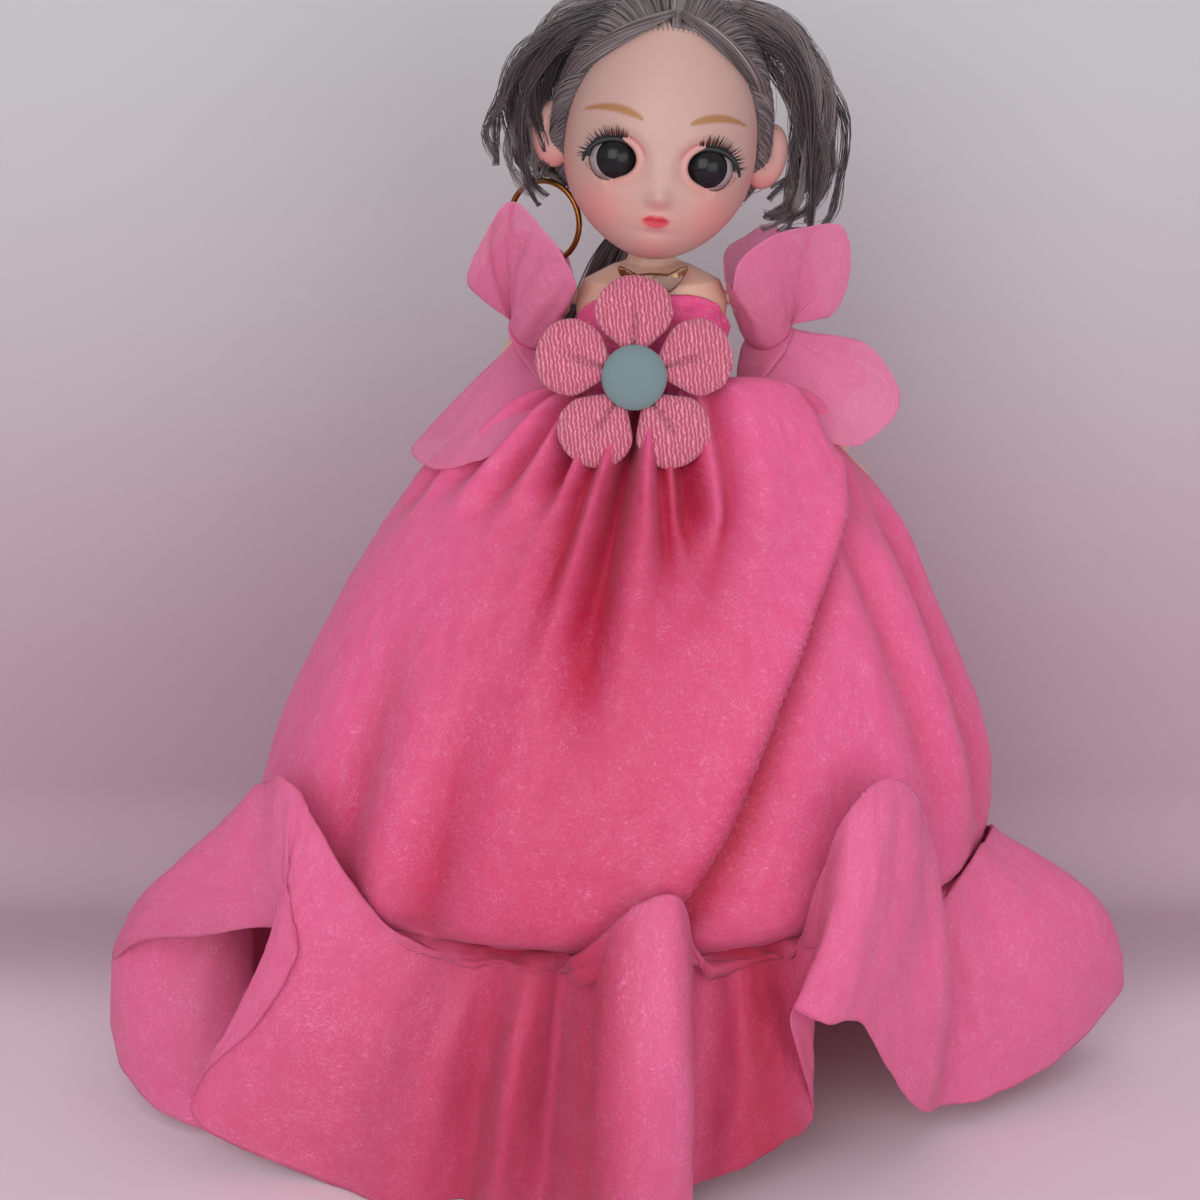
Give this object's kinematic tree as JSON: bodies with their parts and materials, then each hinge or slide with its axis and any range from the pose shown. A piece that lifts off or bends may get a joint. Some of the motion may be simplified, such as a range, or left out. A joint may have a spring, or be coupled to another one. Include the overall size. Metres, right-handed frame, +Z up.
{
  "type": "posable fashion doll",
  "caption": "Ball-jointed fashion doll with rooted hair in a crinkled ball gown, ruffled sleeves, padded flower, puffed skirt and flared flounce; standing.",
  "frame": {"origin": "centre of the footprint, on the surface that the doll stands on", "axes": "+Z up through the head, -Y the way the face looks, +X to the doll's own left side"},
  "size_m": [0.3, 0.204, 0.3153],
  "materials": {
    "head_vinyl": "soft vinyl, matte, pale and pinkish, with painted cheeks and lips",
    "body_plastic": "moulded, satin, peach",
    "joint_plastic": "moulded, satin, peach",
    "hair_fibre": "combed synthetic fibre, grey brown",
    "organza": "crinkled sheer organza, hot pink, with a fine fibre sheen",
    "seersucker": "puckered and padded pink cloth",
    "button_cloth": "woven cover, dusty teal",
    "eye_acrylic": "polished, black",
    "lash_fibre": "stiff black bristles",
    "charm_enamel": "glossy brown",
    "brown_metal": "polished, brown gold",
    "silver_metal": "polished",
    "elastic": "braided elastic, pink",
    "shoe_vinyl": "smooth moulded vinyl, off-white",
    "fastener_tape": "hook and loop tape, pale pink"
  },
  "bodies": {
    "torso": {"torso_front_shell": "body_plastic", "torso_back_shell": "body_plastic", "bodice": "organza", "bodice_fastener": "fastener_tape", "pendant_charm": "charm_enamel", "petal_top": "seersucker", "petal_left": "seersucker", "petal_lower_left": "seersucker", "petal_lower_right": "seersucker", "petal_right": "seersucker", "flower_button": "button_cloth", "skirt": "organza", "flounce_left": "organza", "flounce_back": "organza", "flounce_right": "organza", "flounce_front": "organza"},
    "neck_post": {"neck_post": "joint_plastic"},
    "neck_plug": {"neck_plug": "joint_plastic"},
    "head": {"head_shell": "head_vinyl", "left_eye": "eye_acrylic", "right_eye": "eye_acrylic", "left_eyelash": "lash_fibre", "right_eyelash": "lash_fibre", "hair_cap": "hair_fibre", "left_hair_twist": "hair_fibre", "right_hair_twist": "hair_fibre", "left_hair_lock": "hair_fibre", "right_hair_lock": "hair_fibre", "ponytail": "hair_fibre", "hair_tie": "elastic", "earring_bead": "silver_metal"},
    "earring": {"earring_hoop": "brown_metal"},
    "left_shoulder_joint": {"left_shoulder_joint": "joint_plastic"},
    "left_upper_arm": {"left_upper_arm": "body_plastic", "left_elbow_pin": "joint_plastic", "left_sleeve_elastic": "elastic", "left_sleeve_upper_ruffle": "organza", "left_sleeve_lower_ruffle": "organza"},
    "left_forearm": {"left_forearm": "body_plastic"},
    "left_hand": {"left_hand": "body_plastic"},
    "right_shoulder_joint": {"right_shoulder_joint": "joint_plastic"},
    "right_upper_arm": {"right_upper_arm": "body_plastic", "right_elbow_pin": "joint_plastic", "right_sleeve_elastic": "elastic", "right_sleeve_upper_ruffle": "organza", "right_sleeve_lower_ruffle": "organza"},
    "right_forearm": {"right_forearm": "body_plastic"},
    "right_hand": {"right_hand": "body_plastic"},
    "left_hip_joint": {"left_hip_joint": "joint_plastic"},
    "left_thigh": {"left_thigh": "body_plastic", "left_knee_pin": "joint_plastic"},
    "left_shin": {"left_shin": "body_plastic"},
    "left_foot": {"left_foot": "body_plastic", "left_shoe": "shoe_vinyl"},
    "right_hip_joint": {"right_hip_joint": "joint_plastic"},
    "right_thigh": {"right_thigh": "body_plastic", "right_knee_pin": "joint_plastic"},
    "right_shin": {"right_shin": "body_plastic"},
    "right_foot": {"right_foot": "body_plastic", "right_shoe": "shoe_vinyl"}
  },
  "joints": [
    {"name": "neck_nod", "type": "hinge", "parent": "torso", "child": "neck_post", "pos_m": [0, 0, 0.243], "axis": [1, 0, 0], "range_deg": [-15, 5], "deforming": ["ponytail", "hair_tie"]},
    {"name": "head_tilt", "type": "hinge", "parent": "neck_post", "child": "neck_plug", "pos_m": [0, 0, 0.253], "axis": [0, 1, 0], "range_deg": [-16, 5]},
    {"name": "head_turn", "type": "hinge", "parent": "neck_plug", "child": "head", "pos_m": [0, 0, 0.253], "axis": [0.1045, 0, 0.9945], "range_deg": [-55, 55], "deforming": ["left_hair_lock", "right_hair_lock"]},
    {"name": "earring_swing", "type": "hinge", "parent": "head", "child": "earring", "pos_m": [-0.02916, 0.008, 0.26255], "axis": [0.866, -0.5, 0], "range_deg": [-15, 15]},
    {"name": "left_shoulder_swing", "type": "hinge", "parent": "torso", "child": "left_shoulder_joint", "pos_m": [0.027, 0, 0.232], "axis": [-1, 0, 0], "range_deg": [-50, 200], "deforming": ["skirt", "left_sleeve_upper_ruffle", "left_sleeve_lower_ruffle"]},
    {"name": "left_shoulder_raise", "type": "hinge", "parent": "left_shoulder_joint", "child": "left_upper_arm", "pos_m": [0.027, 0, 0.232], "axis": [0, -0.7431, -0.6691], "range_deg": [-10, 70]},
    {"name": "left_elbow", "type": "hinge", "parent": "left_upper_arm", "child": "left_forearm", "pos_m": [0.04198, 0.02482, 0.20444], "axis": [-0.596, -0.4082, -0.6915], "range_deg": [-5, 78]},
    {"name": "left_wrist", "type": "hinge", "parent": "left_forearm", "child": "left_hand", "pos_m": [0.05765, 0.04496, 0.17905], "axis": [-0.4351, -0.5597, 0.7053], "range_deg": [-80, 80]},
    {"name": "right_shoulder_swing", "type": "hinge", "parent": "torso", "child": "right_shoulder_joint", "pos_m": [-0.027, 0, 0.232], "axis": [-1, 0, 0], "range_deg": [-50, 200], "deforming": ["right_sleeve_upper_ruffle", "right_sleeve_lower_ruffle"]},
    {"name": "right_shoulder_raise", "type": "hinge", "parent": "right_shoulder_joint", "child": "right_upper_arm", "pos_m": [-0.027, 0, 0.232], "axis": [0, 0.7431, 0.6691], "range_deg": [-10, 70]},
    {"name": "right_elbow", "type": "hinge", "parent": "right_upper_arm", "child": "right_forearm", "pos_m": [-0.04198, 0.02482, 0.20444], "axis": [-0.596, 0.4082, 0.6915], "range_deg": [-5, 78]},
    {"name": "right_wrist", "type": "hinge", "parent": "right_forearm", "child": "right_hand", "pos_m": [-0.05765, 0.04496, 0.17905], "axis": [0.4351, -0.5597, 0.7053], "range_deg": [-80, 80]},
    {"name": "left_hip_swing", "type": "hinge", "parent": "torso", "child": "left_hip_joint", "pos_m": [0.0125, 0, 0.16], "axis": [-1, 0, 0], "range_deg": [-20, 20]},
    {"name": "left_hip_spread", "type": "hinge", "parent": "left_hip_joint", "child": "left_thigh", "pos_m": [0.0125, 0, 0.16], "axis": [0, -1, 0], "range_deg": [0, 18]},
    {"name": "left_knee", "type": "hinge", "parent": "left_thigh", "child": "left_shin", "pos_m": [0.0125, 0, 0.086], "axis": [1, 0, 0], "range_deg": [0, 60]},
    {"name": "left_ankle", "type": "hinge", "parent": "left_shin", "child": "left_foot", "pos_m": [0.0125, 0, 0.018], "axis": [1, 0, 0], "range_deg": [-20, 20]},
    {"name": "right_hip_swing", "type": "hinge", "parent": "torso", "child": "right_hip_joint", "pos_m": [-0.0125, 0, 0.16], "axis": [-1, 0, 0], "range_deg": [-20, 20]},
    {"name": "right_hip_spread", "type": "hinge", "parent": "right_hip_joint", "child": "right_thigh", "pos_m": [-0.0125, 0, 0.16], "axis": [0, 1, 0], "range_deg": [0, 18]},
    {"name": "right_knee", "type": "hinge", "parent": "right_thigh", "child": "right_shin", "pos_m": [-0.0125, 0, 0.086], "axis": [1, 0, 0], "range_deg": [0, 60]},
    {"name": "right_ankle", "type": "hinge", "parent": "right_shin", "child": "right_foot", "pos_m": [-0.0125, 0, 0.018], "axis": [1, 0, 0], "range_deg": [-20, 20]}
  ]
}
